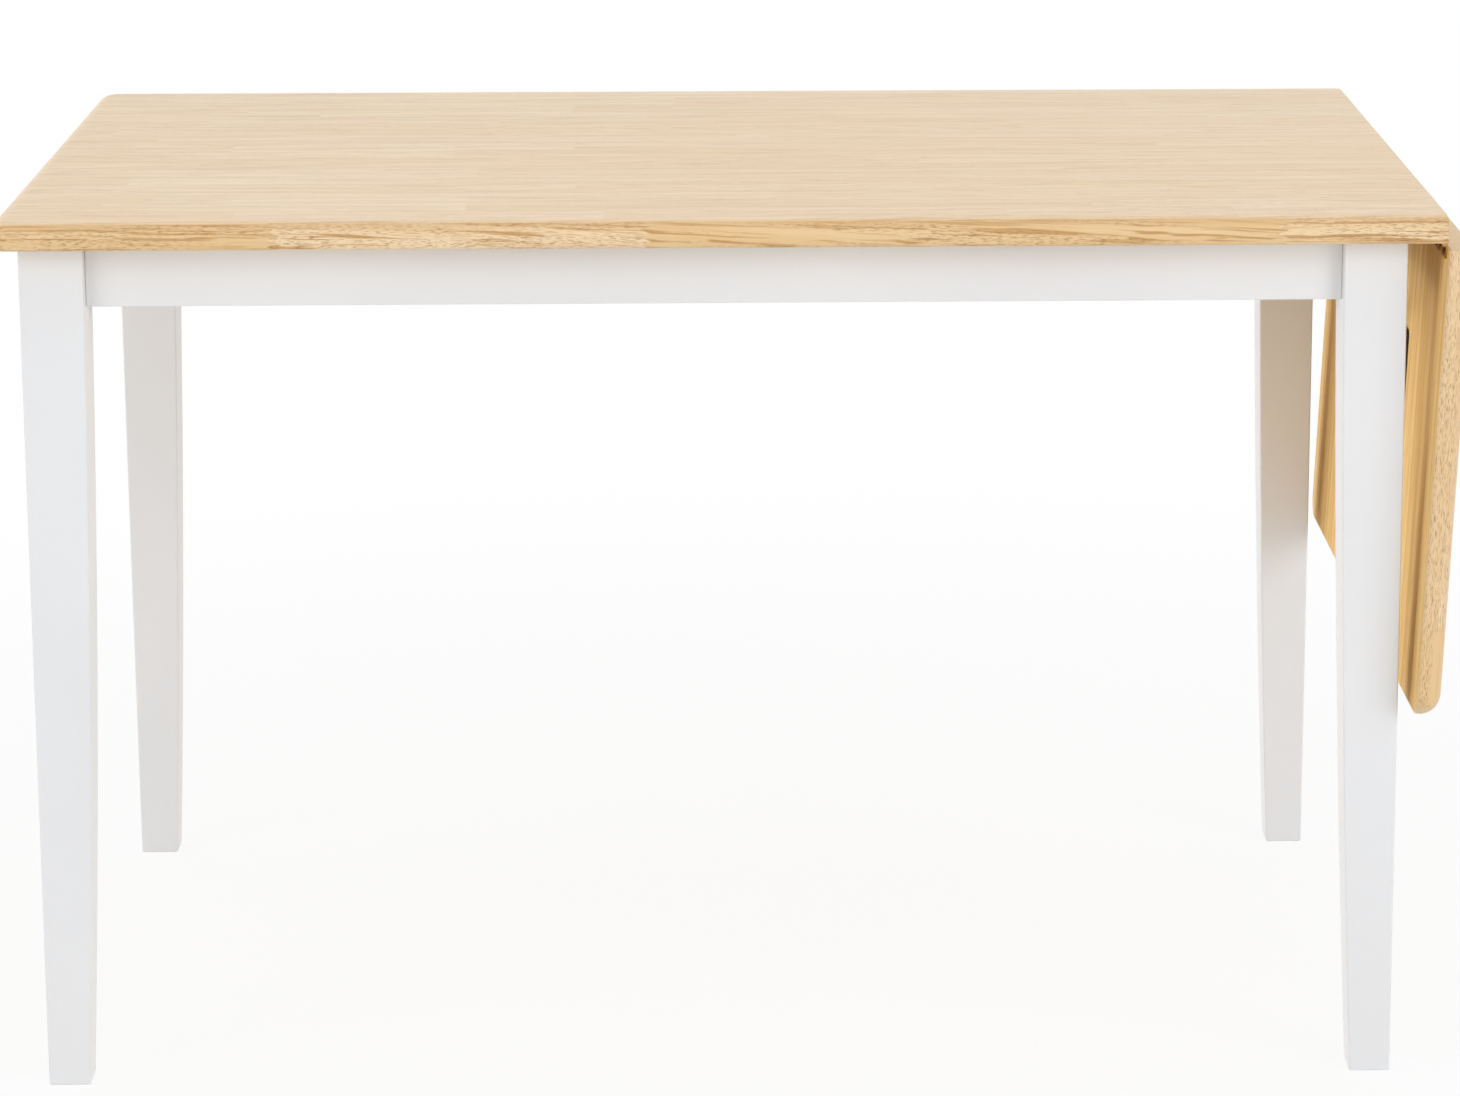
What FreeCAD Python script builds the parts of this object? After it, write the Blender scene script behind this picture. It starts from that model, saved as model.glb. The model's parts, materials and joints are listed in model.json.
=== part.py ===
"""Drop-leaf dining table: white painted base, wooden top, one leaf hinged at the right-hand end.

Millimetres, +Z up.  The floor is z = 0, +X points to the drop leaf and -Y to the front.
The origin is the middle of the table's box on the floor, with the leaf hanging down.
"""
import FreeCAD
import Part
import math
import os

V = FreeCAD.Vector

# Overall sizes
table_height = 750.0
top_length = 1205.0
top_width = 755.0
leaf_length = 402.5
leaf_lean = 2.8
board_thickness = 22.0

# Edges of the top and of the leaf
lower_edge_radius = 3.0
edge_flat = 2.0
plan_corner_radius = 22.0

# Base
side_overhang = 27.0
left_overhang = 25.0
right_overhang = 30.0
leg_size = 53.0
foot_size = 35.0
leg_belly = 2.6
taper_drop = 72.0
leg_arris = 1.5
apron_height = 53.5
apron_thickness = 20.0
apron_reveal = 13.0
apron_arris = 1.5

# Corner joints of the base
bracket_steel = 2.5
bracket_height = 40.0
bracket_flange = 34.0
bracket_stand_off = 12.0
bolt_radius = 4.0
bolt_depth_in_leg = 30.0
bolt_tail = 9.0
washer_radius = 9.0
washer_thickness = 1.6
nut_width = 13.0
nut_height = 6.5
bracket_screw_pitch = 20.0

# Angles that hold the top down on the aprons
angle_leg = 24.0
angle_width = 18.0
angle_steel = 2.0
angle_end_distance = 300.0

# Hinges
hinge_length = 62.0
hinge_edge_distance = 16.0
hinge_plate_width = 13.0
hinge_plate_steel = 1.2
hinge_corner_radius = 3.0
knuckle_radius = 2.25
knuckle_count = 5
hinge_pin_radius = 1.05
pin_setback = 1.2
leaf_gap = 1.0
hinge_screw_pitch = 22.0

# Stays that carry the raised leaf
stay_plate_distance = 108.0
stay_plate_length = 64.0
stay_plate_width = 60.0
stay_edge_distance = 193.0
stay_steel = 2.5
stay_corner = 5.0
stay_pivot_distance = 105.0
stay_pivot_height = 11.5
stay_ear_radius = 9.0
stay_arm_width = 14.0
stay_stud_radius = 3.5
stay_stud_drop = 73.0
stay_rivet_radius = 3.0
stay_head_radius = 7.0
stay_head_thickness = 2.0
carrier_width = 24.0
carrier_flange = 24.0

# Wood screws
screw_radius = 1.75
screw_head_radius = 3.4
screw_head_height = 1.5
screw_short = 15.0
screw_long = 17.0

# Clearances
running_fit = 0.05
press_gap = 0.02
hole_clearance = 0.3
side_play = 0.5
knuckle_clearance = 0.35
slot_clearance = 0.3

# Places worked out from the sizes
underside_z = table_height - board_thickness
upper_edge_radius = board_thickness - lower_edge_radius - edge_flat
pin_drop = knuckle_radius + knuckle_clearance
pin_z = underside_z - pin_drop
hang_tilt = math.radians(leaf_lean)
hang_angle = 90.0 + leaf_lean
leaf_reach = ((pin_drop + board_thickness) * math.cos(hang_tilt) - pin_setback
              - (pin_setback + leaf_gap) * math.sin(hang_tilt))
joint_x = (top_length - leaf_reach) / 2
top_left_x = joint_x - top_length
pin_x = joint_x - pin_setback
base_left_x = top_left_x + left_overhang
base_right_x = joint_x - right_overhang
base_side_y = top_width / 2 - side_overhang
apron_bottom_z = underside_z - apron_height
taper_z = underside_z - taper_drop
apron_inner = apron_reveal + apron_thickness
hinge_ys = [-top_width / 2 + hinge_edge_distance + hinge_length / 2,
            0.0,
            top_width / 2 - hinge_edge_distance - hinge_length / 2]
places = ["front", "middle", "rear"]
leg_corners = [("front_left", -1, -1), ("front_right", 1, -1), ("rear_left", -1, 1), ("rear_right", 1, 1)]
stay_sides = [("front", -1), ("rear", 1)]


def block(x0, x1, y0, y1, z0, z1):
    """Box between two opposite corners, given in any order."""
    low = V(min(x0, x1), min(y0, y1), min(z0, z1))
    return Part.makeBox(abs(x1 - x0), abs(y1 - y0), abs(z1 - z0), low)


def rod(radius, start, direction, length):
    """Round bar from a point along a direction."""
    return Part.makeCylinder(radius, length, start, direction)


def edges_where(shape, test):
    """Edges of a shape whose middle point passes a test."""
    chosen = []
    for edge in shape.Edges:
        middle = edge.valueAt((edge.FirstParameter + edge.LastParameter) / 2)
        if test(edge, middle):
            chosen.append(edge)
    return chosen


def is_upright(edge):
    """True for an edge that runs along Z."""
    run = edge.Vertexes[-1].Point - edge.Vertexes[0].Point
    return abs(run.z) > 0.99 * run.Length > 0


def prism(points, thickness):
    """Closed outline swept along a thickness vector."""
    wire = Part.makePolygon(points + points[:1])
    return Part.Face(wire).extrude(thickness)


def screw(seat, direction, length):
    """Pan-head wood screw whose head sits on the seat and whose shank runs along the direction."""
    way = V(direction).normalize()
    head = rod(screw_head_radius, V(0, 0, 0), V(0, 0, 1), screw_head_height)
    rim = edges_where(head, lambda edge, middle: middle.z > screw_head_height / 2 and edge.Closed)
    head = head.makeFillet(screw_head_height * 0.6, rim)
    slot = screw_head_radius * 0.55
    for turn in (0, 90):
        cross = block(-slot, slot, -screw_radius * 0.2, screw_radius * 0.2,
                      screw_head_height * 0.4, screw_head_height)
        cross.rotate(V(0, 0, 0), V(0, 0, 1), turn)
        head = head.cut(cross)
    straight = length - 2 * screw_radius
    shank = rod(screw_radius, V(0, 0, -straight), V(0, 0, 1), straight)
    tip = Part.makeCone(0.2, screw_radius, 2 * screw_radius, V(0, 0, -length))
    body = head.fuse([shank, tip]).removeSplitter()
    body.Placement = FreeCAD.Placement(V(seat), FreeCAD.Rotation(V(0, 0, -1), way))
    return body


def screw_hole(seat, direction, length):
    """Hole in which a wood screw's shank lies."""
    return rod(screw_radius + running_fit, V(seat), V(direction), length + running_fit)


def plate_hole(seat, direction):
    """Clearance hole through a thin plate under a screw head."""
    way = V(direction).normalize()
    return rod(screw_radius + hole_clearance, V(seat) - way * bracket_steel, way, 3 * bracket_steel)


def drilled(shape, tools):
    """Shape with a list of tools cut away."""
    return shape.cut(tools) if tools else shape


def hung(shape):
    """Turn a piece of the leaf from level to hanging, about the hinge pin."""
    turned = shape.copy()
    turned.rotate(V(pin_x, 0, pin_z), V(0, 1, 0), hang_angle)
    return turned


def board(x0, x1, free_end):
    """Top board with one square end at the joint and three rounded edges."""
    half = top_width / 2
    shape = block(x0, x1, -half, half, underside_z, table_height)
    free_x = x0 if free_end < 0 else x1
    joint_end = x1 if free_end < 0 else x0
    corners = edges_where(shape, lambda edge, m: is_upright(edge) and abs(m.x - free_x) < 0.1)
    shape = shape.makeFillet(plan_corner_radius, corners)

    def on_rim(level):
        return lambda edge, m: abs(m.z - level) < 0.1 and abs(m.x - joint_end) > 0.1

    shape = shape.makeFillet(upper_edge_radius, edges_where(shape, on_rim(table_height)))
    return shape.makeFillet(lower_edge_radius, edges_where(shape, on_rim(underside_z)))


def leg_profile(along, across, outer, inner_sign):
    """Side view of a leg: plumb outer face, inner face straight at the block and bowed below it."""
    def at(offset, z):
        return along * (outer + inner_sign * offset) + V(0, 0, z)

    middle = (leg_size + foot_size) / 2 + leg_belly
    bow = Part.Arc(at(leg_size, taper_z), at(middle, taper_z / 2), at(foot_size, 0)).toShape()
    straight = [at(foot_size, 0), at(0, 0), at(0, underside_z),
                at(leg_size, underside_z), at(leg_size, taper_z)]
    edges = [Part.makeLine(a, b) for a, b in zip(straight, straight[1:])]
    return Part.Face(Part.Wire(edges + [bow])).extrude(across)


def leg(side_x, side_y):
    """Square leg, plumb on its two outer faces and tapered on its two inner faces."""
    outer_x = base_right_x if side_x > 0 else base_left_x
    outer_y = base_side_y * side_y
    front_view = leg_profile(V(1, 0, 0), V(0, 4 * leg_size, 0), outer_x, -side_x)
    front_view.translate(V(0, outer_y - 2 * leg_size, 0))
    side_view = leg_profile(V(0, 1, 0), V(4 * leg_size, 0, 0), outer_y, -side_y)
    side_view.translate(V(outer_x - 2 * leg_size, 0, 0))
    shape = front_view.common(side_view)

    def long_edge(edge, m):
        return edge.Length > underside_z / 2 and abs(m.x - outer_x) < 0.1 and abs(m.y - outer_y) < 0.1

    return shape.makeFillet(leg_arris, edges_where(shape, long_edge))


def apron(axis, side):
    """Rail between two legs, set back behind their outer faces."""
    if axis == "x":
        outer = (base_side_y - apron_reveal) * side
        shape = block(base_left_x + leg_size, base_right_x - leg_size,
                      outer, outer - side * apron_thickness, apron_bottom_z, underside_z)

        def is_lower_arris(edge, m):
            return abs(m.z - apron_bottom_z) < 0.1 and abs(edge.Length - shape.BoundBox.XLength) < 0.1
    else:
        outer = base_right_x - apron_reveal if side > 0 else base_left_x + apron_reveal
        reach = base_side_y - leg_size
        shape = block(outer, outer - side * apron_thickness, -reach, reach, apron_bottom_z, underside_z)

        def is_lower_arris(edge, m):
            return abs(m.z - apron_bottom_z) < 0.1 and abs(edge.Length - shape.BoundBox.YLength) < 0.1

    return shape.makeFillet(apron_arris, edges_where(shape, is_lower_arris))


def corner_frame(side_x, side_y):
    """Corner where the inner faces of two aprons meet, and the directions along each of them."""
    x = base_right_x - apron_inner if side_x > 0 else base_left_x + apron_inner
    return V(x, side_y * (base_side_y - apron_inner), 0), V(-side_x, 0, 0), V(0, -side_y, 0)


bracket_mid_z = underside_z - apron_height / 2
leg_proud = leg_size - apron_inner
bracket_span = 2 * leg_proud + bracket_stand_off * math.sqrt(2)


def corner_bracket_screws(side_x, side_y):
    """Seats and directions of the screws through a corner bracket's two flanges."""
    corner, along_x, along_y = corner_frame(side_x, side_y)
    seats = []
    for along, inward in ((along_x, along_y), (along_y, along_x)):
        middle = corner + along * (bracket_span + bracket_flange / 2) + inward * bracket_steel
        for step in (-0.5, 0.5):
            seats.append((middle + V(0, 0, bracket_mid_z + step * bracket_screw_pitch), inward * -1))
    return seats


def corner_bracket(side_x, side_y):
    """Pressed steel plate across a corner, with a flange on each apron and a hole for the bolt."""
    corner, along_x, along_y = corner_frame(side_x, side_y)
    inner = bracket_span + bracket_steel * (math.sqrt(2) - 1)
    outline = [along_x * bracket_span,
               along_x * (bracket_span + bracket_flange),
               along_x * (bracket_span + bracket_flange) + along_y * bracket_steel,
               along_x * inner + along_y * bracket_steel,
               along_y * inner + along_x * bracket_steel,
               along_y * (bracket_span + bracket_flange) + along_x * bracket_steel,
               along_y * (bracket_span + bracket_flange),
               along_y * bracket_span]
    low = V(0, 0, bracket_mid_z - bracket_height / 2)
    shape = prism([corner + point + low for point in outline], V(0, 0, bracket_height))
    tools = [plate_hole(seat, way) for seat, way in corner_bracket_screws(side_x, side_y)]
    start, way = bolt_axis(side_x, side_y)
    tools.append(rod(bolt_radius + hole_clearance, start, way, bolt_length))
    return drilled(shape, tools)


bolt_to_plate = bracket_span / math.sqrt(2) - leg_proud * math.sqrt(2)
plate_face = bolt_to_plate + bracket_steel
bolt_length = bolt_depth_in_leg + plate_face + washer_thickness + nut_height + bolt_tail


def bolt_axis(side_x, side_y):
    """Buried end of a leg bolt and its direction towards the middle of the table."""
    corner, along_x, along_y = corner_frame(side_x, side_y)
    way = (along_x + along_y).normalize()
    edge = corner + (along_x + along_y) * leg_proud + V(0, 0, bracket_mid_z)
    return edge - way * bolt_depth_in_leg, way


def leg_bolt(side_x, side_y):
    """Threaded bolt screwed into the inner edge of a leg."""
    start, way = bolt_axis(side_x, side_y)
    return rod(bolt_radius, start, way, bolt_length)


def bolt_washer(side_x, side_y):
    """Washer on the inside face of a corner bracket."""
    start, way = bolt_axis(side_x, side_y)
    seat = start + way * (bolt_depth_in_leg + plate_face)
    ring = rod(washer_radius, seat, way, washer_thickness)
    return ring.cut(rod(bolt_radius + hole_clearance, seat, way, washer_thickness))


def bolt_nut(side_x, side_y):
    """Hexagon nut on a leg bolt."""
    start, way = bolt_axis(side_x, side_y)
    seat = start + way * (bolt_depth_in_leg + plate_face + washer_thickness)
    corner_radius = nut_width / math.sqrt(3)
    outline = [V(corner_radius * math.cos(math.radians(60 * step)),
                 corner_radius * math.sin(math.radians(60 * step)), 0) for step in range(6)]
    nut = prism(outline, V(0, 0, nut_height))
    nut = nut.cut(rod(bolt_radius + running_fit, V(0, 0, 0), V(0, 0, 1), nut_height))
    nut.Placement = FreeCAD.Placement(seat, FreeCAD.Rotation(V(0, 0, 1), way))
    return nut


def angle_places():
    """Foot of each top-holding angle on an apron's inner face, with the way into the room below the top."""
    side = base_side_y - apron_inner
    middle_x = (base_left_x + base_right_x) / 2
    found = []
    for step in (-1, 1):
        found.append((V(middle_x + step * angle_end_distance, -side, underside_z), V(0, 1, 0)))
        found.append((V(middle_x + step * angle_end_distance, side, underside_z), V(0, -1, 0)))
    found.append((V(base_left_x + apron_inner, 0, underside_z), V(1, 0, 0)))
    found.append((V(base_right_x - apron_inner, 0, underside_z), V(-1, 0, 0)))
    return found


def angle_screws(foot, inward):
    """Seats and directions of an angle's two screws: one up into the top, one into the apron."""
    up = V(0, 0, 1)
    return [(foot + inward * (angle_leg * 0.6) - up * angle_steel, up),
            (foot + inward * angle_steel - up * (angle_leg * 0.6), inward * -1)]


def top_angle(foot, inward):
    """Small steel angle between an apron and the top."""
    up = V(0, 0, 1)
    across = up.cross(inward)
    outline = [V(0, 0, 0),
               inward * angle_leg,
               inward * angle_leg - up * angle_steel,
               inward * angle_steel - up * angle_steel,
               inward * angle_steel - up * angle_leg,
               up * -angle_leg]
    start = foot - across * (angle_width / 2)
    shape = prism([start + point for point in outline], across * angle_width)
    return drilled(shape, [plate_hole(seat, way) for seat, way in angle_screws(foot, inward)])


def hinge_screw_seats(y, side):
    """Screw seats of one hinge plate; side is -1 on the fixed top and 1 on the leaf."""
    x = pin_x + side * (knuckle_radius + hinge_plate_width) / 2
    z = underside_z - hinge_plate_steel
    return [(V(x, y + step * hinge_screw_pitch, z), V(0, 0, 1)) for step in (-1, 0, 1)]


def hinge_plate(y, side):
    """Hinge plate with its share of the knuckles; side is -1 on the fixed top and 1 on the leaf."""
    low_y = y - hinge_length / 2
    root = knuckle_radius + side_play
    plate_low = underside_z - hinge_plate_steel
    shape = block(pin_x + side * root, pin_x + side * hinge_plate_width,
                  low_y, low_y + hinge_length, plate_low, underside_z)
    far_x = pin_x + side * hinge_plate_width
    corners = edges_where(shape, lambda edge, m: is_upright(edge) and abs(m.x - far_x) < 0.1)
    shape = shape.makeFillet(hinge_corner_radius, corners)
    pitch = hinge_length / knuckle_count
    own = range(0, knuckle_count, 2) if side < 0 else range(1, knuckle_count, 2)
    knuckles = []
    for place in own:
        y0 = low_y + place * pitch + running_fit
        y1 = low_y + (place + 1) * pitch - running_fit
        knuckles.append(rod(knuckle_radius, V(pin_x, y0, pin_z), V(0, 1, 0), y1 - y0))
        knuckles.append(block(pin_x, pin_x + side * root, y0, y1, plate_low, pin_z + knuckle_radius))
    shape = shape.fuse(knuckles).removeSplitter()
    bore = hinge_pin_radius + (press_gap if side < 0 else running_fit)
    tools = [rod(bore, V(pin_x, low_y, pin_z), V(0, 1, 0), hinge_length)]
    tools += [plate_hole(seat, way) for seat, way in hinge_screw_seats(y, side)]
    return drilled(shape, tools)


def hinge_pin(y):
    """Pin through all the knuckles of one hinge."""
    return rod(hinge_pin_radius, V(pin_x, y - hinge_length / 2, pin_z), V(0, 1, 0), hinge_length)


# The stay: its pivot on the leaf and its stud on the frame stand equally far from the hinge pin,
# so the arm turns half as far as the leaf and its slot always runs over the stud.  The slot's two ends
# stop the leaf: level, and hanging at its lean.
pivot_level = V(pin_x + stay_pivot_distance, 0, underside_z - stay_pivot_height)
stay_radius = (pivot_level - V(pin_x, 0, pin_z)).Length
stud_x = pin_x - math.sqrt(stay_radius ** 2 - stay_stud_drop ** 2)
stud_z = pin_z - stay_stud_drop
ear_y = top_width / 2 - stay_edge_distance - stay_plate_width
arm_y = ear_y - side_play
carrier_y = arm_y - stay_steel - side_play
carrier_screw_pitch = carrier_width / 2


def stay_pivot_hanging():
    """Pivot of the stay arm with the leaf hanging."""
    turned = Part.Vertex(pivot_level)
    turned.rotate(V(pin_x, 0, pin_z), V(0, 1, 0), hang_angle)
    return turned.Point


def stay_leaf_screws(side):
    """Screw seats on a stay's leaf plate, with the leaf level."""
    seats = []
    for along in (0.3, 0.8):
        for across in (0.38, 0.82):
            x = pin_x + stay_plate_distance + along * stay_plate_length
            y = side * (ear_y + across * stay_plate_width)
            seats.append((V(x, y, underside_z - stay_steel), V(0, 0, 1)))
    return seats


def stay_leaf_plate(side):
    """Plate screwed to the leaf, with an ear that carries the arm's pivot."""
    x0 = pin_x + stay_plate_distance
    x1 = x0 + stay_plate_length
    y_near = side * ear_y
    y_far = side * (ear_y + stay_plate_width)
    plate = block(x0, x1, y_near, y_far, underside_z - stay_steel, underside_z)
    corners = edges_where(plate, lambda edge, m: is_upright(edge) and abs(m.y - y_far) < 0.1)
    plate = plate.makeChamfer(stay_corner, corners)
    thick = V(0, side * stay_steel, 0)
    base = V(pivot_level.x, y_near, pivot_level.z)
    ear = rod(stay_ear_radius, base, thick, stay_steel)
    neck = block(base.x - stay_ear_radius, base.x + 2 * stay_ear_radius,
                 y_near, y_near + thick.y, base.z, underside_z - stay_steel)
    neck = neck.fuse(ear).removeSplitter()
    shape = plate.fuse(neck).removeSplitter()
    tools = [plate_hole(seat, way) for seat, way in stay_leaf_screws(side)]
    tools.append(rod(stay_rivet_radius + press_gap, base - thick, thick, 3 * stay_steel))
    return drilled(shape, tools)


def headed_pin(radius, start, end):
    """Round pin with a flat head at each end, outside the two given points."""
    way = (end - start).normalize()
    shank = rod(radius, start - way * (stay_head_thickness / 2), way,
                (end - start).Length + stay_head_thickness)
    heads = [rod(stay_head_radius, start - way * stay_head_thickness, way, stay_head_thickness),
             rod(stay_head_radius, end, way, stay_head_thickness)]
    return shank.fuse(heads).removeSplitter()


def stay_rivet(side):
    """Rivet that joins the arm to the ear of the leaf plate."""
    outer = V(pivot_level.x, side * (ear_y + stay_steel), pivot_level.z)
    inner = V(pivot_level.x, side * (arm_y - stay_steel - side_play), pivot_level.z)
    return headed_pin(stay_rivet_radius, inner, outer)


def stay_arm(side):
    """Slotted arm, drawn from its pivot on the hanging leaf over the stud on the frame."""
    pivot = stay_pivot_hanging()
    run = V(stud_x - pivot.x, 0, stud_z - pivot.z)
    near = run.Length
    far = (V(stud_x, 0, stud_z) - pivot_level).Length
    half = stay_arm_width / 2
    thick = V(0, -side * stay_steel, 0)

    def bar(x0, x1, radius):
        ends = [rod(radius, V(x, 0, 0), thick, stay_steel) for x in (x0, x1)]
        return block(x0, x1, 0, thick.y, -radius, radius).fuse(ends).removeSplitter()

    slot_radius = stay_stud_radius + slot_clearance
    shape = bar(0, far, half)
    pivot_hole = rod(stay_rivet_radius + running_fit, V(0, 0, 0), thick, stay_steel)
    shape = shape.cut([bar(near, far, slot_radius), pivot_hole])
    shape.rotate(V(0, 0, 0), V(0, 1, 0), -math.degrees(math.atan2(run.z, run.x)))
    shape.translate(V(pivot.x, side * arm_y, pivot.z))
    return shape


def carrier_screws(side):
    """Screw seats on the flange of a stay carrier."""
    y = side * (carrier_y - carrier_flange * 0.6)
    return [(V(stud_x + step * carrier_screw_pitch / 2, y, underside_z - stay_steel), V(0, 0, 1))
            for step in (-1, 1)]


def stay_carrier(side):
    """Steel angle under the fixed top that holds the stud of a stay."""
    y = side * carrier_y
    inward = -side
    flange = block(stud_x - carrier_width / 2, stud_x + carrier_width / 2,
                   y, y + inward * carrier_flange, underside_z - stay_steel, underside_z)
    foot_radius = stay_head_radius + stay_steel
    low = rod(foot_radius, V(stud_x, y, stud_z), V(0, inward, 0), stay_steel)
    outline = [V(stud_x - carrier_width / 2, y, underside_z), V(stud_x + carrier_width / 2, y, underside_z),
               V(stud_x + foot_radius, y, stud_z), V(stud_x - foot_radius, y, stud_z)]
    web = prism(outline, V(0, inward * stay_steel, 0))
    shape = flange.fuse([web, low]).removeSplitter()
    tools = [plate_hole(seat, way) for seat, way in carrier_screws(side)]
    stud_start = V(stud_x, y - inward * stay_steel, stud_z)
    tools.append(rod(stay_stud_radius + press_gap, stud_start, V(0, inward, 0), 3 * stay_steel))
    return drilled(shape, tools)


def stay_stud(side):
    """Headed stud on which the slot of the arm runs."""
    inner = V(stud_x, side * (carrier_y - stay_steel), stud_z)
    outer = V(stud_x, side * (arm_y + side_play), stud_z)
    return headed_pin(stay_stud_radius, inner, outer)


def screw_group(seats, length):
    """Wood screws for a list of seats, as separate solids."""
    return Part.makeCompound([screw(seat, way, length) for seat, way in seats])


def holes(seats, length):
    """Holes for a list of screw seats."""
    return [screw_hole(seat, way, length) for seat, way in seats]


def build():
    """All the pieces by name."""
    angles = angle_places()
    angle_seats = [seat for place in angles for seat in angle_screws(*place)]
    bracket_seats = [seat for _, sx, sy in leg_corners for seat in corner_bracket_screws(sx, sy)]
    top_hinge_seats = [seat for y in hinge_ys for seat in hinge_screw_seats(y, -1)]
    leaf_hinge_seats = [seat for y in hinge_ys for seat in hinge_screw_seats(y, 1)]
    carrier_seats = [seat for _, side in stay_sides for seat in carrier_screws(side)]
    stay_seats = [seat for _, side in stay_sides for seat in stay_leaf_screws(side)]
    base_holes = holes(angle_seats, screw_short) + holes(bracket_seats, screw_long)

    pieces = {}
    top = board(top_left_x, joint_x, -1)
    pieces["fixed_top"] = drilled(top, holes(angle_seats, screw_short) + holes(top_hinge_seats, screw_short)
                                  + holes(carrier_seats, screw_short))
    leaf = board(joint_x + leaf_gap, joint_x + leaf_gap + leaf_length, 1)
    leaf = drilled(leaf, holes(leaf_hinge_seats, screw_short) + holes(stay_seats, screw_short))
    pieces["drop_leaf"] = hung(leaf)

    for name, sx, sy in leg_corners:
        start, way = bolt_axis(sx, sy)
        socket = rod(bolt_radius + running_fit, start - way * running_fit, way, bolt_length)
        pieces["leg_" + name] = drilled(leg(sx, sy), [socket])
        pieces["corner_bracket_" + name] = corner_bracket(sx, sy)
    for name, axis, side in (("front", "x", -1), ("rear", "x", 1), ("left", "y", -1), ("right", "y", 1)):
        pieces["apron_" + name] = drilled(apron(axis, side), base_holes)
    pieces["leg_bolts"] = Part.makeCompound([leg_bolt(sx, sy) for _, sx, sy in leg_corners])
    pieces["bolt_washers"] = Part.makeCompound([bolt_washer(sx, sy) for _, sx, sy in leg_corners])
    pieces["bolt_nuts"] = Part.makeCompound([bolt_nut(sx, sy) for _, sx, sy in leg_corners])
    pieces["corner_bracket_screws"] = screw_group(bracket_seats, screw_long)
    pieces["top_angles"] = Part.makeCompound([top_angle(*place) for place in angles])
    pieces["top_angle_screws"] = screw_group(angle_seats, screw_short)

    for name, y in zip(places, hinge_ys):
        pieces["hinge_top_plate_" + name] = hinge_plate(y, -1)
        pieces["hinge_leaf_plate_" + name] = hung(hinge_plate(y, 1))
        pieces["hinge_pin_" + name] = hinge_pin(y)
    pieces["hinge_top_screws"] = screw_group(top_hinge_seats, screw_short)
    pieces["hinge_leaf_screws"] = hung(screw_group(leaf_hinge_seats, screw_short))

    for name, side in stay_sides:
        pieces["stay_carrier_" + name] = stay_carrier(side)
        pieces["stay_stud_" + name] = stay_stud(side)
        pieces["stay_arm_" + name] = stay_arm(side)
        pieces["stay_leaf_plate_" + name] = hung(stay_leaf_plate(side))
        pieces["stay_rivet_" + name] = hung(stay_rivet(side))
    pieces["stay_carrier_screws"] = screw_group(carrier_seats, screw_short)
    pieces["stay_leaf_screws"] = hung(screw_group(stay_seats, screw_short))
    return pieces


os.makedirs("parts", exist_ok=True)
for node, shape in build().items():
    shape.exportStep("parts/" + node + ".step")
pivot = stay_pivot_hanging()
print("hinge pin x %.4f z %.4f, raise by %.4f degrees" % (pin_x, pin_z, hang_angle))
print("stay pivot x %.4f z %.4f" % (pivot.x, pivot.z))
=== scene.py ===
import json
import math

import bmesh
import bpy
import numpy
from mathutils import Matrix, Vector


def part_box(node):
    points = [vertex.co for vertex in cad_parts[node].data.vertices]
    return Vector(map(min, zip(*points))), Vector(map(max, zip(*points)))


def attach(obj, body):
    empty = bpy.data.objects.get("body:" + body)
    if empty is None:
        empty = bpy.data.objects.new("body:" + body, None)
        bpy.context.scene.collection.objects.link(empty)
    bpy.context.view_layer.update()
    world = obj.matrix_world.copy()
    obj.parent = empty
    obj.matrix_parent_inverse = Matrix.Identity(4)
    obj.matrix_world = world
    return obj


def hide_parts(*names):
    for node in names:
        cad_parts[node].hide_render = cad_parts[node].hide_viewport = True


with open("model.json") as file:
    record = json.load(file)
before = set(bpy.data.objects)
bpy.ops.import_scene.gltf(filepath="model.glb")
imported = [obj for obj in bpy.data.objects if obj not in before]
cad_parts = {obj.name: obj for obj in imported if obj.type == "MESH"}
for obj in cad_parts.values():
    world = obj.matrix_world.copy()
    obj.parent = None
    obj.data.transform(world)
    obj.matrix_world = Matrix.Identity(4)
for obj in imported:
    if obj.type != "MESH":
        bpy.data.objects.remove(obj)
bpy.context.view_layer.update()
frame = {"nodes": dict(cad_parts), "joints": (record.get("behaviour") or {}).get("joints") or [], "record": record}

# Looks of the drop-leaf dining table, in metres, in the frame of its CAD model:
# the floor is z = 0, +X points to the drop leaf and -Y to the front.

# Camera, for an image of 1460 by 1096 pixels
IMAGE_WIDTH = 1460
IMAGE_HEIGHT = 1096
CAMERA_PLACE = Vector((0.0039, -4.2872, 1.4300))
CAMERA_YAW = 0.03407
CAMERA_PITCH = 0.2133
CAMERA_ROLL = 0.00044
FOCAL_PIXELS = 4829.4
PRINCIPAL_X = 900.0
PRINCIPAL_Y = 420.0
SENSOR_WIDTH = 36.0

# Forms that the boxes of the CAD nodes don't give
UPPER_EDGE_RADIUS = 0.017
LOWER_EDGE_RADIUS = 0.003
PLAN_CORNER_RADIUS = 0.022
JOINT_ARRIS = 0.0006
LEAF_GAP = 0.001
FOOT_SIZE = 0.035
LEG_BELLY = 0.0026
TAPER_DROP = 0.072
LEG_ARRIS = 0.0015
FOOT_ARRIS = 0.0012
APRON_ARRIS = 0.0012
THREAD_PITCH = 0.00125
THREAD_DEPTH = 0.0007
NUT_WIDTH = 0.013
NUT_HEIGHT = 0.0065
NUT_CHAMFER = math.radians(30)
NUT_CHAMFER_START = 0.0002
NUT_FACE_SHARE = 0.97
SCREW_PITCH = 0.0018
SCREW_THREAD_DEPTH = 0.00045
SCREW_TAPER = 0.004
SCREW_RECESS = 0.0009

# Pan head of a screw: shares of its radius and of its height, from the seat up
PAN_HEAD = ((1.0, 0.0), (1.0, 0.45), (0.95, 0.68), (0.85, 0.84), (0.70, 0.95), (0.56, 1.0))
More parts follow.
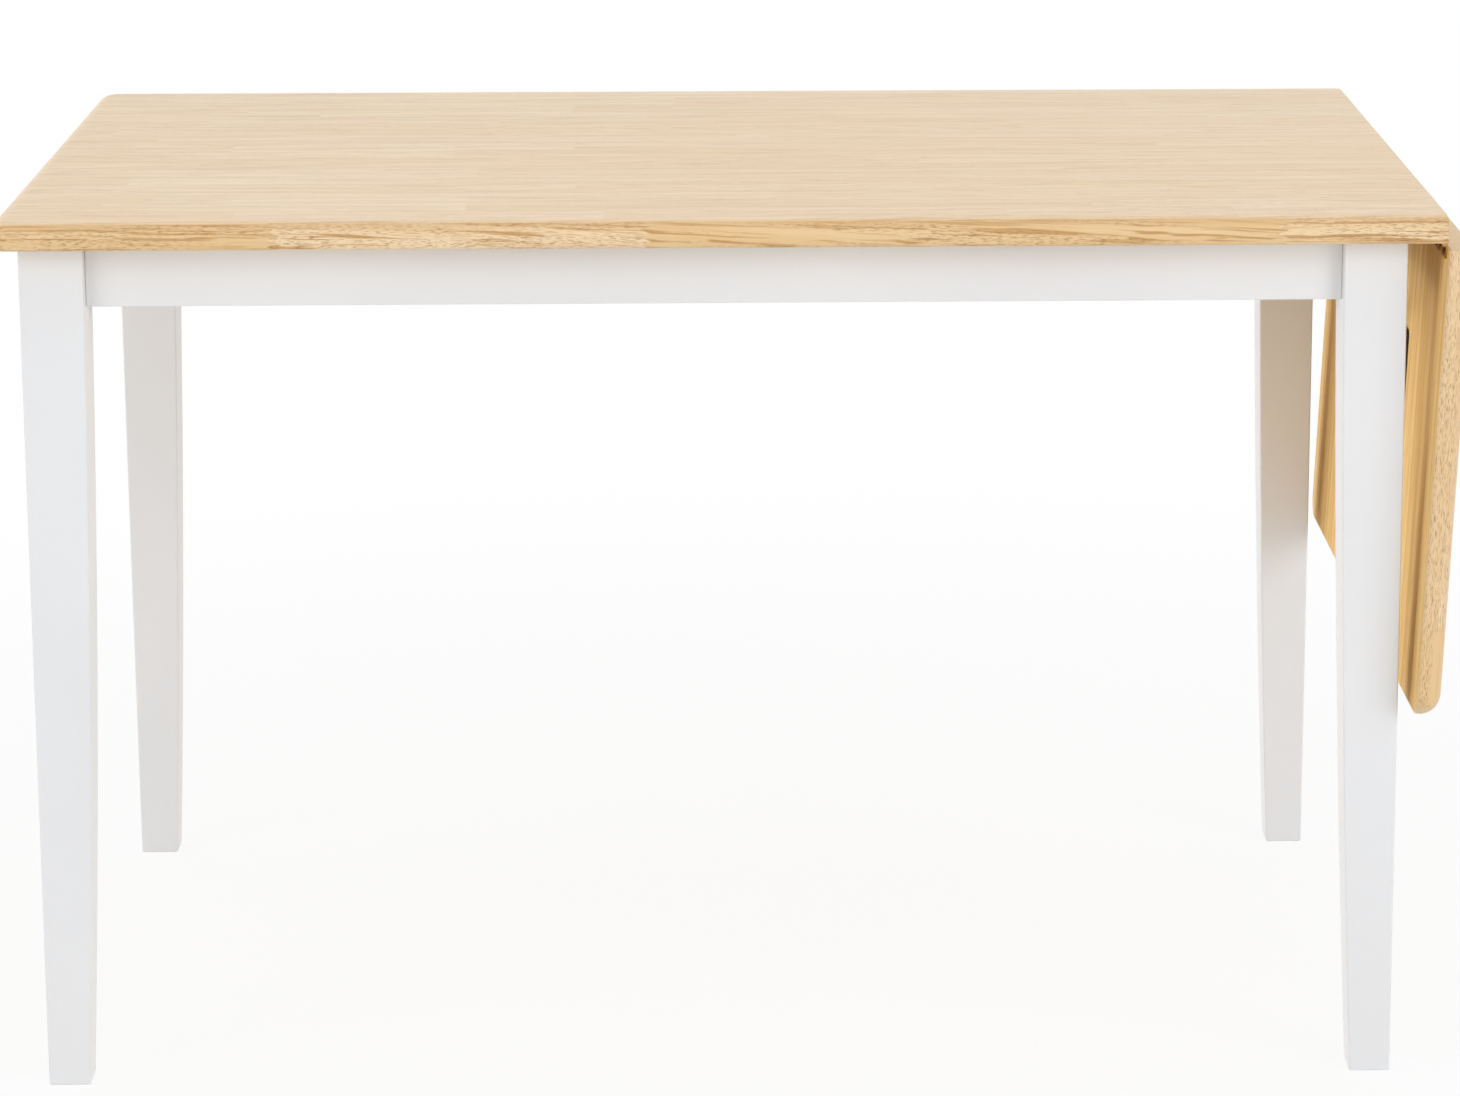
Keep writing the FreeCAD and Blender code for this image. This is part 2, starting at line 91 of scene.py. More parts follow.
# Cross recess: share of the head's radius, and shares of the depth in the cross and beside it
CROSS_RECESS = ((0.50, 0.55, 0.0), (0.30, 0.9, 0.0), (0.18, 1.0, 0.9))

# Wood: staves glued side by side, each of blocks joined end to end by fingers
STAVE_WIDTH = 0.046
FINGER_WIDTH = 0.006
FINGER_STEEPNESS = 3.0
GLUE_LINE = 0.0003
TONE_STEP = 0.55

# Joints of the blocks along the long edges, tone of the first block and strength of the edges' dark lines
TOP_JOINTS = (-0.373, -0.067, 0.458)
TOP_FIRST_TONE = 0.5
TOP_EDGE_LINES = 0.90
LEAF_JOINTS = (0.920,)
LEAF_FIRST_TONE = 0.02
LEAF_EDGE_LINES = 0.15

# Distance in from a board's side where its long edge begins and is full, and height of its upper arris, where the
# painted shade on that arris begins and is full
EDGE_START, EDGE_FULL = 0.012, 0.009
ARRIS_START, ARRIS_FULL = 0.012, 0.020

# Strength of the marks that are weaker or stronger on a board's broad faces than on its long edges
# Tones at half strength on the broad face make the top paler than its long edges. This paints in part of the
# lacquer's pale sheen.
TONES_ON_FACE = 0.5
LINES_ON_FACE = 0.42
PORES_ON_FACE = 0.3

# Strength of the wood's other marks
BAND_SHARE = 0.55
FIBRE_SHARE = 0.22
# Strength of the painted shade on the upper arris of the long edges
ARRIS_SHADE_SHARE = 0.4
END_SHARE = 0.7
PORE_SHARE = 0.60
GLUE_SHARE = 0.12

# Grains per metre of the wood's marks, along the fibres and twice across them
BANDS = (1.6, 75.0, 75.0)
LINES = (6.0, 380.0, 380.0)
FIBRES = (28.0, 1200.0, 1200.0)
PORES = (165.0, 1900.0, 1900.0)
PORE_CROWDS = (5.0, 70.0, 70.0)
BARE_STREAKS = (2.0, 120.0, 120.0)
BARE_FIBRES = (20.0, 900.0, 900.0)

# Run of the fibres: slant in a block, shift from block to block, and grains per metre and reach of the swings
GRAIN_SLANT = 0.12
GRAIN_SHIFT = 9.0
GRAIN_SWINGS = (((1.7, 9.0, 9.0), 0.012), ((16.0, 50.0, 50.0), 0.0042))

# What the CAD record says of its nodes
SLOT_OF = {row["node"]: row["material_slot"] for row in frame["record"]["subparts"]}
BODY_OF = {node: body for body, nodes in frame["record"]["behaviour"]["bodies"].items() for node in nodes}

# Hinge of the leaf, and the turn that takes the level leaf down to where it hangs
leaf_hinge = next(joint for joint in frame["joints"] if joint["name"] == "leaf_hinge")
PIN = Vector(leaf_hinge["pos_m"])
HANG = math.radians(leaf_hinge["range_deg"][1])
HANG_TURN = Matrix.Translation(PIN) @ Matrix.Rotation(HANG, 4, "Y") @ Matrix.Translation(-PIN)


def linear(red, green, blue):
    """Screen colour from 0 to 255 as the linear colour that shaders take."""
    def channel(value):
        share = value / 255
        return share / 12.92 if share <= 0.04045 else ((share + 0.055) / 1.055) ** 2.4
    return (channel(red), channel(green), channel(blue), 1.0)


# Colours of the lacquered wood
PALE_BLOCK = linear(237, 212, 175)
DARK_BLOCK = linear(222, 188, 137)
BAND_COLOUR = linear(222, 185, 132)
LINE_COLOUR = linear(188, 143, 86)
FIBRE_COLOUR = linear(196, 154, 100)
ARRIS_SHADE_COLOUR = linear(206, 162, 104)
# Painted shade on the upper arris of the long edges
END_COLOUR = linear(208, 172, 98)
PORE_COLOUR = linear(146, 104, 60)
GLUE_COLOUR = linear(150, 108, 66)

# Colours of the matt undersides, whose deep golden saturation is painted warm light bounced between the boards
BARE_PALE = linear(246, 211, 146)
BARE_DARK = linear(224, 178, 105)
BARE_STAVE = linear(234, 194, 128)
BARE_FIBRE = linear(204, 158, 94)

# Colours of the paint and the metals, two of each that go in clouds
PAINT = (linear(232, 233, 235), linear(228, 229, 231))
PLATE_BRASS = (linear(220, 180, 108), linear(176, 132, 70))
SCREW_BRASS = (linear(150, 112, 58), linear(96, 68, 34))
BLACK = (linear(26, 26, 28), linear(40, 40, 42))
ZINC = (linear(188, 192, 196), linear(208, 208, 202))
FLOOR = linear(240, 240, 240)
WHITE = (1.0, 1.0, 1.0, 1.0)


# Shader helpers

def add(tree, kind, sockets, output=0, **settings):
    """Add a shader node, set or link its inputs, and give one of its outputs."""
    made = tree.nodes.new(kind)
    for key, value in settings.items():
        setattr(made, key, value)
    for key, value in sockets.items():
        if isinstance(value, bpy.types.NodeSocket):
            tree.links.new(value, made.inputs[key])
        else:
            made.inputs[key].default_value = value
    return made.outputs[output]


def calc(tree, operation, *values):
    """One step of arithmetic."""
    return add(tree, "ShaderNodeMath", dict(enumerate(values)), operation=operation)


def vector_calc(tree, operation, first, second):
    """One step of arithmetic on vectors."""
    return add(tree, "ShaderNodeVectorMath", {0: first, 1: second}, operation=operation)


def step(tree, value, low, high, at_low=0.0, at_high=1.0):
    """Smooth rise or fall of a value between two levels."""
    return add(tree, "ShaderNodeMapRange", {0: value, 1: low, 2: high, 3: at_low, 4: at_high},
               interpolation_type="SMOOTHSTEP")


def point(tree, x, y, z):
    """Vector from three values."""
    return add(tree, "ShaderNodeCombineXYZ", {0: x, 1: y, 2: z})


def axes(tree, vector):
    """Three values of a vector."""
    first = add(tree, "ShaderNodeSeparateXYZ", {0: vector})
    return first, first.node.outputs[1], first.node.outputs[2]


def noise(tree, vector, scales, detail=2.0, output="Fac"):
    """Soft noise whose grains per metre differ along the three axes."""
    scaled = vector_calc(tree, "MULTIPLY", vector, scales)
    return add(tree, "ShaderNodeTexNoise", {"Vector": scaled, "Scale": 1.0, "Detail": detail}, output=output)


def random_number(tree, first, second):
    """Number from 0 to 1 that is the same wherever two numbers are the same."""
    return add(tree, "ShaderNodeTexWhiteNoise", {"Vector": point(tree, first, second, 0.0)},
               noise_dimensions="2D")


def mix(tree, share, first, second):
    """Mix of two colours."""
    return add(tree, "ShaderNodeMix", {0: share, 6: first, 7: second}, output=2,
               data_type="RGBA", blend_type="MIX")


def show(tree, kind, surface):
    """End a shader tree in its output node."""
    tree.links.new(surface, tree.nodes.new(kind).inputs["Surface"])


def new_material(name):
    """Material with one physically based shader; gives the material, its nodes and the shader."""
    material = bpy.data.materials.new(name)
    material.use_nodes = True
    tree = material.node_tree
    tree.nodes.clear()
    shader = tree.nodes.new("ShaderNodeBsdfPrincipled")
    show(tree, "ShaderNodeOutputMaterial", shader.outputs[0])
    return material, tree, shader


def own_place(tree):
    """Place of a surface point in its piece's own frame."""
    return add(tree, "ShaderNodeTexCoord", {}, output="Object")


def cover(tree, shader, colour, roughness, height, depth):
    """Link a shader's colour, its roughness and its relief, whose depth is in metres."""
    tree.links.new(colour, shader.inputs["Base Color"])
    tree.links.new(roughness, shader.inputs["Roughness"])
    normal = add(tree, "ShaderNodeBump", {"Height": height, "Distance": depth, "Strength": 1.0})
    tree.links.new(normal, shader.inputs["Normal"])


# Materials

def level_place(tree, underside, turn):
    """Length and width of a point of a board and its height over the underside, once the board is level."""
    place = own_place(tree)
    if turn:
        place = add(tree, "ShaderNodeVectorRotate", {0: place, 1: PIN, 2: (0, 1, 0), 3: -turn},
                    rotation_type="AXIS_ANGLE")
    along, across, up = axes(tree, place)
    return along, across, calc(tree, "SUBTRACT", up, underside)


def stave_number(tree, across):
    """Whole number of the stave at a place across the board."""
    return calc(tree, "FLOOR", calc(tree, "DIVIDE", across, STAVE_WIDTH))


def blocks(tree, along, across, depth, joints, first_tone, outer_from):
    """Tone of the glued block at a point, and a number of its own.

    The outer staves have their joints at the given places, and the others have them shifted.
    """
    stave = stave_number(tree, across)
    inner = calc(tree, "LESS_THAN", calc(tree, "ABSOLUTE", across), outer_from)
    shift = calc(tree, "MULTIPLY", random_number(tree, stave, first_tone), inner)
    fingers = calc(tree, "MULTIPLY", calc(tree, "PINGPONG", depth, FINGER_WIDTH / 2), FINGER_STEEPNESS)
    place = calc(tree, "ADD", calc(tree, "ADD", along, fingers), shift)
    count = calc(tree, "GREATER_THAN", place, joints[0])
    for joint in joints[1:]:
        count = calc(tree, "ADD", count, calc(tree, "GREATER_THAN", place, joint))
    steps = calc(tree, "MULTIPLY_ADD", count, TONE_STEP, first_tone)
    tone = calc(tree, "FRACT", calc(tree, "ADD", steps, shift))
    return tone, random_number(tree, stave, count)


def grain_place(tree, along, across, depth, number):
    """Point in the run of the fibres, which slant in each block, wander slowly and ripple a little."""
    slant = calc(tree, "MULTIPLY", calc(tree, "SUBTRACT", number, 0.5), GRAIN_SLANT)
    drift = calc(tree, "MULTIPLY", along, slant)
    straight = point(tree, calc(tree, "MULTIPLY_ADD", number, GRAIN_SHIFT, along),
                     calc(tree, "ADD", across, drift), calc(tree, "ADD", depth, drift))
    bent = straight
    for scales, reach in GRAIN_SWINGS:
        swing = noise(tree, straight, scales, output="Color")
        swing = vector_calc(tree, "SUBTRACT", swing, (0.5, 0.5, 0.5))
        bent = vector_calc(tree, "ADD", bent, vector_calc(tree, "MULTIPLY", swing, (0.0, reach, reach)))
    return bent


def face_or_edge(tree, edge, on_face, on_edge):
    """Strength that differs between the broad faces of a board and its long edges."""
    return step(tree, edge, 0.0, 1.0, on_face, on_edge)


def pores(tree, grain, tone, edge):
    """Short open pores along the fibres, in crowds, more of them in pale blocks and on the long edges."""
    seeds = noise(tree, grain, PORES, 0.0)
    crowds = noise(tree, grain, PORE_CROWDS, 1.0)
    crowds = calc(tree, "SUBTRACT", crowds, calc(tree, "MULTIPLY", tone, 0.24))
    found = calc(tree, "MULTIPLY", step(tree, seeds, 0.56, 0.68), step(tree, crowds, 0.28, 0.50))
    return calc(tree, "MULTIPLY", found, face_or_edge(tree, edge, PORES_ON_FACE, 1.0))


def block_colour(tree, grain, tone, edge, edge_lines):
    """Colour of the blocks with their soft bands and dark lines."""
    # Painted pale sheen: tones at half strength on the broad top face
    tone_share = calc(tree, "MULTIPLY", tone, face_or_edge(tree, edge, TONES_ON_FACE, 1.0))
    colour = mix(tree, tone_share, PALE_BLOCK, DARK_BLOCK)
    bands = noise(tree, grain, BANDS, 3.0)
    colour = mix(tree, step(tree, bands, 0.34, 0.66, 0.0, BAND_SHARE), colour, BAND_COLOUR)
    lines = step(tree, noise(tree, grain, LINES, 3.0), 0.50, 0.65)
    lines = calc(tree, "MULTIPLY", lines, face_or_edge(tree, edge, LINES_ON_FACE, edge_lines))
    return mix(tree, lines, colour, LINE_COLOUR)


def rim_colour(tree, colour, along, depth, edge, square_end):
    """Colour with painted shade darkening the upper arris of the long edges, and darker on the end grain of the
    square end.
    """
    # Painted shade: the upper arris of each long edge is made darker
    arris = calc(tree, "MULTIPLY", step(tree, depth, ARRIS_START, ARRIS_FULL, 0.0, ARRIS_SHADE_SHARE), edge)
    colour = mix(tree, arris, colour, ARRIS_SHADE_COLOUR)
    from_end = calc(tree, "ABSOLUTE", calc(tree, "SUBTRACT", along, square_end))
    return mix(tree, step(tree, from_end, 0.0, JOINT_ARRIS, END_SHARE, 0.0), colour, END_COLOUR)


def wood(name, underside, half_width, square_end, joints, first_tone, edge_lines, turn=0.0):
    """Lacquered light hardwood with its grain along X."""
    material, tree, shader = new_material(name)
    along, across, depth = level_place(tree, underside, turn)
    tone, number = blocks(tree, along, across, depth, joints, first_tone, half_width - STAVE_WIDTH / 4)
    grain = grain_place(tree, along, across, depth, number)
    fibres = noise(tree, grain, FIBRES)
    edge = step(tree, calc(tree, "ABSOLUTE", across), half_width - EDGE_START, half_width - EDGE_FULL)
    holes = pores(tree, grain, tone, edge)

    colour = block_colour(tree, grain, tone, edge, edge_lines)
    colour = mix(tree, step(tree, fibres, 0.50, 0.75, 0.0, FIBRE_SHARE), colour, FIBRE_COLOUR)
    colour = rim_colour(tree, colour, along, depth, edge, square_end)
    colour = mix(tree, calc(tree, "MULTIPLY", holes, PORE_SHARE), colour, PORE_COLOUR)
    from_glue = calc(tree, "PINGPONG", across, STAVE_WIDTH / 2)
    colour = mix(tree, step(tree, from_glue, 0.0, GLUE_LINE, GLUE_SHARE, 0.0), colour, GLUE_COLOUR)

    roughness = step(tree, fibres, 0.2, 0.8, 0.27, 0.33)
    height = calc(tree, "SUBTRACT", calc(tree, "MULTIPLY", fibres, 0.3), holes)
    cover(tree, shader, colour, roughness, height, depth=0.00005)
    shader.inputs["Specular IOR Level"].default_value = 0.40
    return material


def bare_wood(name, underside, turn=0.0):
    """Matt sanded underside of a board, with broad streaks along X; its deep golden colour is painted warm light
    bounced between the boards.
    """
    material, tree, shader = new_material(name)
    along, across, depth = level_place(tree, underside, turn)
    number = random_number(tree, stave_number(tree, across), 1.0)
    grain = grain_place(tree, along, across, depth, number)
    streaks = noise(tree, grain, BARE_STREAKS, 3.0)
    fibres = noise(tree, grain, BARE_FIBRES)
    # Painted warm bounce light: golden colours more saturated than the lacquered faces
    colour = mix(tree, step(tree, streaks, 0.36, 0.66), BARE_PALE, BARE_DARK)
    colour = mix(tree, calc(tree, "MULTIPLY", number, 0.3), colour, BARE_STAVE)
    colour = mix(tree, step(tree, fibres, 0.52, 0.75, 0.0, 0.3), colour, BARE_FIBRE)
    cover(tree, shader, colour, step(tree, fibres, 0.2, 0.8, 0.62, 0.75), fibres, depth=0.00008)
    shader.inputs["Specular IOR Level"].default_value = 0.15
    return material


def white_paint():
    """Satin white paint with a faint orange peel from spraying."""
    material, tree, shader = new_material("white_satin_paint")
    place = own_place(tree)
    clouds = noise(tree, place, (3.0, 3.0, 3.0))
    peel = noise(tree, place, (420.0, 420.0, 260.0))
    colour = mix(tree, step(tree, clouds, 0.3, 0.7), *PAINT)
    cover(tree, shader, colour, step(tree, peel, 0.3, 0.7, 0.38, 0.48), peel, depth=0.00006)
    return material


def brass(name, colours):
    """Dull brass with brown tarnish in clouds."""
    material, tree, shader = new_material(name)
    place = own_place(tree)
    tarnish = noise(tree, place, (90.0, 90.0, 90.0), 4.0)
    scratches = noise(tree, place, (300.0, 60.0, 2200.0))
    colour = mix(tree, step(tree, tarnish, 0.35, 0.7), *colours)
    cover(tree, shader, colour, step(tree, tarnish, 0.3, 0.75, 0.42, 0.6), scratches, depth=0.00003)
    shader.inputs["Metallic"].default_value = 1.0
    return material


def black_coat():
    """Black powder coat with its fine grit."""
    material, tree, shader = new_material("black_powder_coat")
    place = own_place(tree)
    grit = noise(tree, place, (1600.0, 1600.0, 1600.0), 1.0)
    clouds = noise(tree, place, (60.0, 60.0, 60.0))
    colour = mix(tree, step(tree, clouds, 0.3, 0.7), *BLACK)
    cover(tree, shader, colour, step(tree, grit, 0.3, 0.7, 0.42, 0.6), grit, depth=0.00008)
    return material


def zinc():
    """Zinc plating: bluish grey with faint spangle and drawing marks."""
    material, tree, shader = new_material("zinc_plate")
    place = own_place(tree)
    spangle = add(tree, "ShaderNodeTexVoronoi", {"Vector": place, "Scale": 260.0}, output="Color")
    tint, _, _ = axes(tree, spangle)
    marks = noise(tree, place, (700.0, 700.0, 90.0))
    colour = mix(tree, tint, *ZINC)
    cover(tree, shader, colour, step(tree, marks, 0.3, 0.7, 0.3, 0.46), marks, depth=0.00003)
    shader.inputs["Metallic"].default_value = 1.0
    return material


# Mesh helpers

def box_of(corners):
    """Lowest and highest corner of the box round some points."""
    low = Vector([min(corner[axis] for corner in corners) for axis in range(3)])
    high = Vector([max(corner[axis] for corner in corners) for axis in range(3)])
    return low, high


def finished_piece(name, bm, materials, node):
    """Turn a mesh into a piece that stands for a CAD node and rides on its body."""
    bmesh.ops.recalc_face_normals(bm, faces=bm.faces)
    mesh = bpy.data.meshes.new(name)
    bm.to_mesh(mesh)
    bm.free()
    mesh.shade_smooth()
    mesh.set_sharp_from_angle(angle=math.radians(40))
    for material in materials:
        mesh.materials.append(material)
    piece = bpy.data.objects.new(name, mesh)
    bpy.context.scene.collection.objects.link(piece)
    normals = piece.modifiers.new("flat_faces_stay_flat", "WEIGHTED_NORMAL")
    normals.keep_sharp = True
    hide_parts(node)
    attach(piece, BODY_OF[node])


def ring(bm, points):
    """Corners of one ring."""
    return [bm.verts.new(place) for place in points]


def skin(bm, rings):
    """Join a stack of closed rings of equally many corners with four-sided faces."""
    count = len(rings[0])
    for lower, upper in zip(rings, rings[1:]):
        for corner in range(count):
            after = (corner + 1) % count
            bm.faces.new((lower[corner], lower[after], upper[after], upper[corner]))


def stack(bm, rings):
    """Closed solid from a stack of rings."""
    skin(bm, rings)
    bm.faces.new(rings[0])
    bm.faces.new(rings[-1])


def turned_rings(bm, start, way, levels):
    """Rings round an axis, from a list for each ring of its radius and height at even angles."""
    matrix = Matrix.Translation(start) @ way.to_track_quat("Z", "Y").to_matrix().to_4x4()
    rings = []
    for level in levels:
        points = []
        for count, (radius, height) in enumerate(level):
            angle = 2 * math.pi * count / len(level)
            points.append(matrix @ Vector((radius * math.cos(angle), radius * math.sin(angle), height)))
        rings.append(ring(bm, points))
    return rings


def thread_depth(height, turn, pitch, depth):
    """How far a thread's surface lies below its crest at a height and a share of a turn."""
    return depth * abs(2 * ((height / pitch - turn) % 1.0) - 1)


# Wooden boards

def edge_profile(thickness):
    """Inset and height of the rounded edge of a board, from its underside up."""
    lower_steps, upper_steps = 4, 12
    profile = []
    for count in range(lower_steps + 1):
        angle = math.pi / 2 * count / lower_steps
        profile.append((LOWER_EDGE_RADIUS * (1 - math.sin(angle)),
                        LOWER_EDGE_RADIUS * (1 - math.cos(angle))))
    for count in range(upper_steps + 1):
        angle = math.pi / 2 * count / upper_steps
        profile.append((UPPER_EDGE_RADIUS * (1 - math.cos(angle)),
                        thickness - UPPER_EDGE_RADIUS * (1 - math.sin(angle))))
    return profile


def board_outline(length, width):
    """Outline of a board from its joint round the free end and back, with the way out at each point."""
    side_steps, corner_steps = 24, 12
    straight = length - PLAN_CORNER_RADIUS
    half = width / 2
    front = [(straight * count / side_steps, -half, 0.0, -1.0) for count in range(side_steps)]
    for count in range(corner_steps + 1):
        angle = math.pi / 2 * (count / corner_steps - 1)
        out_u, out_v = math.cos(angle), math.sin(angle)
        front.append((straight + PLAN_CORNER_RADIUS * out_u,
                      PLAN_CORNER_RADIUS * (1 + out_v) - half, out_u, out_v))
    return front + [(u, -v, out_u, -out_v) for u, v, out_u, out_v in reversed(front)]


def board(low, high, place):
    """Board with three rounded edges and one square end, as large as a box.

    The function place maps length from the square end, width and height to the frame.
    The underside has the second finish.
    """
    length, width, thickness = high - low
    bm = bmesh.new()
    outline = board_outline(length, width)
    loops = []
    for inset, height in edge_profile(thickness):
        loops.append(ring(bm, [place(u - out_u * inset, v - out_v * inset, height)
                               for u, v, out_u, out_v in outline]))
    last = len(outline) - 1
    for lower, upper in zip(loops, loops[1:]):
        for corner in range(last):
            bm.faces.new((lower[corner], lower[corner + 1], upper[corner + 1], upper[corner]))
        bm.faces.new((lower[0], upper[0], upper[last], lower[last]))
    for finish, loop in ((1, loops[0]), (0, loops[-1])):
        for corner in range(last // 2):
            facing = last - corner
            face = bm.faces.new((loop[corner], loop[corner + 1], loop[facing - 1], loop[facing]))
            face.material_index = finish
    joint_rim = {loop[end] for loop in loops for end in (0, last)}
    across_joint = [{loop[0], loop[last]} for loop in loops[1:-1]]
    arris = [edge for edge in bm.edges
             if set(edge.verts) <= joint_rim and set(edge.verts) not in across_joint]
    bmesh.ops.bevel(bm, geom=arris, offset=JOINT_ARRIS, segments=2, affect="EDGES")
    return bm


def fixed_top(materials):
    """Top board, from the joint at its right-hand end."""
    low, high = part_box("fixed_top")

    def place(u, v, height):
        return Vector((high.x - u, v, low.z + height))

    finished_piece("fixed_top_wood", board(low, high, place), materials, "fixed_top")


def drop_leaf(materials):
    """Leaf board, drawn level and then turned down about the hinge pin."""
    level = HANG_TURN.inverted()
    low, high = box_of([level @ vertex.co for vertex in frame["nodes"]["drop_leaf"].data.vertices])

    def place(u, v, height):
        return HANG_TURN @ Vector((low.x + u, v, low.z + height))

    finished_piece("drop_leaf_wood", board(low, high, place), materials, "drop_leaf")


# Painted base

def leg_width(height, size, taper_height):
    """Width of a leg at a height: straight block above, bowed taper below."""
    share = min(height / taper_height, 1.0)
    return FOOT_SIZE + (size - FOOT_SIZE) * share + 4 * LEG_BELLY * share * (1 - share)


def leg_levels(height, taper_height):
    """Heights of a leg's rings and their insets, which round the foot."""
    taper_steps, foot_steps = 24, 3
    levels = []
    for count in range(foot_steps):
        angle = math.pi / 2 * count / foot_steps
        levels.append((FOOT_ARRIS * (1 - math.cos(angle)), FOOT_ARRIS * (1 - math.sin(angle))))
    for count in range(taper_steps + 1):
        levels.append((FOOT_ARRIS + (taper_height - FOOT_ARRIS) * count / taper_steps, 0.0))
    return levels + [(height, 0.0)]


def rounded_square(width, inset, radius):
    """Corners of a square from 0 to width, drawn in by an inset, with rounded arrises."""
    arc_steps = 4
    reach = width / 2 - inset
    points = []
    for quarter in range(4):
        middle = math.radians(45 + 90 * quarter)
        centre_a = math.copysign(reach - radius, math.cos(middle))
        centre_b = math.copysign(reach - radius, math.sin(middle))
        for count in range(arc_steps + 1):
            angle = math.radians(90 * quarter + 90 * count / arc_steps)
            points.append((width / 2 + centre_a + radius * math.cos(angle),
                           width / 2 + centre_b + radius * math.sin(angle)))
    return points


def leg(node, material):
    """Leg with two plumb outer faces and two tapered inner faces."""
    low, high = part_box(node)
    inward_x = -math.copysign(1, low.x + high.x)
    inward_y = -math.copysign(1, low.y + high.y)
    outer_x = low.x if inward_x > 0 else high.x
    outer_y = low.y if inward_y > 0 else high.y
    taper_height = high.z - TAPER_DROP
    bm = bmesh.new()
    rings = []
    for height, inset in leg_levels(high.z, taper_height):
        width = leg_width(height, high.x - low.x, taper_height)
        corners = rounded_square(width, inset, LEG_ARRIS)
        rings.append(ring(bm, [Vector((outer_x + inward_x * a, outer_y + inward_y * b, low.z + height))
                               for a, b in corners]))
    stack(bm, rings)
    finished_piece(node + "_painted", bm, [material], node)


def apron(node, material):
    """Rail with eased arrises, which leave a fine groove where it meets the legs."""
    low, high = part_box(node)
    bm = bmesh.new()
    bmesh.ops.create_cube(bm, size=1.0)
    for vertex in bm.verts:
        vertex.co = Vector([(low[axis] + high[axis]) / 2 + vertex.co[axis] * (high[axis] - low[axis])
                            for axis in range(3)])
    bmesh.ops.bevel(bm, geom=list(bm.edges), offset=APRON_ARRIS, segments=4, profile=0.5, affect="EDGES")
    finished_piece(node + "_painted", bm, [material], node)


# Bolts and nuts of the corner joints

def corner_axes(node):
    """Start, inward direction, length and radius of a node's four solids along the corners' diagonals."""
    found = []
    for side_x in (-1, 1):
        for side_y in (-1, 1):
            way = Vector((-side_x, -side_y, 0)).normalized()
            corners = [vertex.co for vertex in frame["nodes"][node].data.vertices
                       if vertex.co.x * side_x > 0 and vertex.co.y * side_y > 0]
            low, high = box_of(corners)
            middle = (low + high) / 2
            reach = max((corner - middle).dot(way) for corner in corners)
            found.append((middle - way * reach, way, 2 * reach, (high.z - low.z) / 2))
    return found


def bolt_rings(length, radius):
    """Radius and height round a threaded bolt, ring by ring from its start."""
    round_steps, rings_per_turn = 24, 6
    turns = [count / round_steps for count in range(round_steps)]
    last = int(length / THREAD_PITCH * rings_per_turn)
    levels = []
    for level in range(last + 1):
        height = length * level / last
        depths = [thread_depth(height, turn, THREAD_PITCH, THREAD_DEPTH) for turn in turns]
        if level in (0, last):
            depths = [THREAD_DEPTH] * round_steps
        levels.append([(radius - depth, height) for depth in depths])
    return levels


def leg_bolts(material):
    """Threaded bolts in the inner edges of the legs."""
    bm = bmesh.new()
    for start, way, length, radius in corner_axes("leg_bolts"):
        stack(bm, turned_rings(bm, start, way, bolt_rings(length, radius)))
    finished_piece("leg_bolts_threaded", bm, [material], "leg_bolts")


def nut_rings(bore):
    """Radius and height round a chamfered hexagon nut, ring by ring from its bore and back to it."""
    round_steps = 60
    flat = NUT_WIDTH / 2
    chamfered = []
    for count in range(round_steps):
        angle = 2 * math.pi * count / round_steps
        from_flat = (angle + math.pi / 6) % (math.pi / 3) - math.pi / 6
        reach = flat / math.cos(from_flat)
        chamfered.append((reach, NUT_CHAMFER_START + (reach - flat) * math.tan(NUT_CHAMFER)))
    lower = [[(bore, 0.0)] * round_steps, [(flat * NUT_FACE_SHARE, 0.0)] * round_steps, chamfered]
    upper = [[(radius, NUT_HEIGHT - height) for radius, height in level] for level in reversed(lower)]
    return lower + upper


def bolt_nuts(material):
    """Hexagon nuts, chamfered at both ends, on the bolts."""
    bore = corner_axes("leg_bolts")[0][3]
    bm = bmesh.new()
    for start, way, _, _ in corner_axes("bolt_nuts"):
        rings = turned_rings(bm, start, way, nut_rings(bore))
        skin(bm, rings + rings[:1])
    finished_piece("bolt_nuts_chamfered", bm, [material], "bolt_nuts")


# Wood screws

def solids(node):
    """Corners of each solid of a CAD node."""
    bm = bmesh.new()
    bm.from_mesh(frame["nodes"][node].data)
    bmesh.ops.remove_doubles(bm, verts=bm.verts, dist=1e-6)
    seen = set()
    found = []
    for first in bm.verts:
        if first in seen:
            continue
        seen.add(first)
        reached = [first]
        for vertex in reached:
            near = [edge.other_vert(vertex) for edge in vertex.link_edges]
            near = [other for other in near if other not in seen]
            seen.update(near)
            reached += near
        found.append([vertex.co.copy() for vertex in reached])
    bm.free()
    return sorted(found, key=lambda corners: tuple(sum(corners, Vector()) / len(corners)))


def screw_measures(corners):
    """Tip, direction to the head, height of the seat, full length and both radii of one screw."""
    middle = sum(corners, Vector()) / len(corners)
    spread = numpy.array([corner - middle for corner in corners])
    axis = numpy.linalg.svd(spread)[2][0]
    # Rounded, so that noise in the corners doesn't turn the screw about its axis
    way = Vector([round(float(part), 4) + 0.0 for part in axis]).normalized()
    heights = [(corner - middle).dot(way) for corner in corners]
    radii = [((corner - middle) - way * height).length for corner, height in zip(corners, heights)]
    head_radius = max(radii)
    head = [height for height, radius in zip(heights, radii) if radius > 0.9 * head_radius]
    if sum(head) < 0:
        way = -way
        heights = [-height for height in heights]
        head = [-height for height in head]
    shank_radius = max(radius for radius in radii if radius < 0.7 * head_radius)
    tip = min(heights)
    return middle + way * tip, way, min(head) - tip, max(heights) - tip, shank_radius, head_radius


